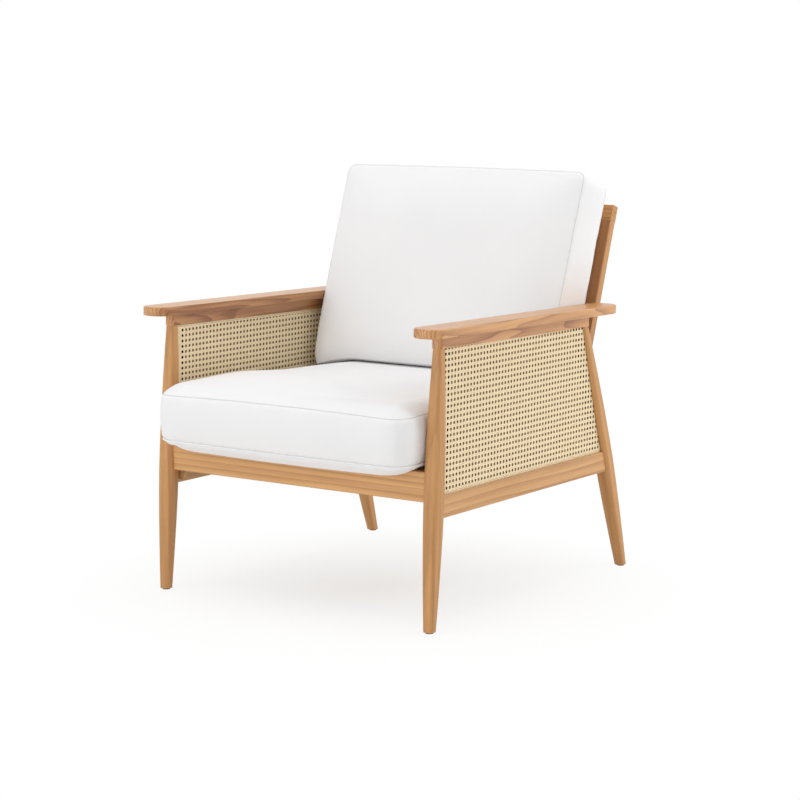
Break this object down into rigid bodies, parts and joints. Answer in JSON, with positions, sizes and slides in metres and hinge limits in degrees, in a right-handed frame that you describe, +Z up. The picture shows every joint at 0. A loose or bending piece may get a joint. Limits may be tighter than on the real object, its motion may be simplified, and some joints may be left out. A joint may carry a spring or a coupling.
{
  "type": "club chair",
  "caption": "Low club chair with a tapered wooden frame, cane side panels under flat armrests, and loose box cushions for the seat and the back.",
  "frame": {"origin": "on the floor, under the middle of the chair's box", "axes": "+Z up, the sitter faces -Y, +X to the right of the picture's near side"},
  "size_m": [0.743, 0.826, 0.8671],
  "materials": {
    "frame_wood": "satin clear lacquer on warm honey wood",
    "inner_wood": "plain sanded wood of the same kind",
    "cane": "woven natural cane",
    "core_board": "dark stained board behind the cane",
    "cushion_cloth": "white woven cotton cover with sewn edges",
    "steel": "zinc-plated steel",
    "glide": "moulded nail-on glide"
  },
  "bodies": {
    "frame": {"front_leg_left": "frame_wood", "front_leg_right": "frame_wood", "back_leg_left": "frame_wood", "back_leg_right": "frame_wood", "side_rail_left": "frame_wood", "side_rail_right": "frame_wood", "arm_rail_left": "frame_wood", "arm_rail_right": "frame_wood", "armrest_left": "frame_wood", "armrest_right": "frame_wood", "back_upright_left": "frame_wood", "back_upright_right": "frame_wood", "crest_rail": "frame_wood", "front_rail": "frame_wood", "seat_bearer_left": "inner_wood", "seat_bearer_right": "inner_wood", "corner_block_left": "inner_wood", "corner_block_right": "inner_wood", "rear_seat_rail": "inner_wood", "back_slat_1": "inner_wood", "back_slat_2": "inner_wood", "back_slat_3": "inner_wood", "seat_slat_1": "inner_wood", "seat_slat_2": "inner_wood", "seat_slat_3": "inner_wood", "seat_slat_4": "inner_wood", "seat_slat_5": "inner_wood", "seat_slat_6": "inner_wood", "back_spacers": "inner_wood", "leg_top_dowels": "inner_wood", "armrest_dowels": "inner_wood", "panel_core_left": "core_board", "cane_outer_left": "cane", "cane_inner_left": "cane", "panel_core_right": "core_board", "cane_outer_right": "cane", "cane_inner_right": "cane", "slat_screws": "steel", "corner_block_screws": "steel", "upright_bolts": "steel", "foot_glides": "glide"},
    "seat_cushion": {"seat_cushion": "cushion_cloth"},
    "back_cushion": {"back_cushion": "cushion_cloth"}
  },
  "joints": [
    {"name": "seat_cushion_slide", "type": "slide", "parent": "frame", "child": "seat_cushion", "axis": [0, -1, 0], "range_m": [0, 0.62]},
    {"name": "back_cushion_lift", "type": "slide", "parent": "frame", "child": "back_cushion", "axis": [0, 0.3239, 0.9461], "range_m": [0, 0.45]}
  ]
}
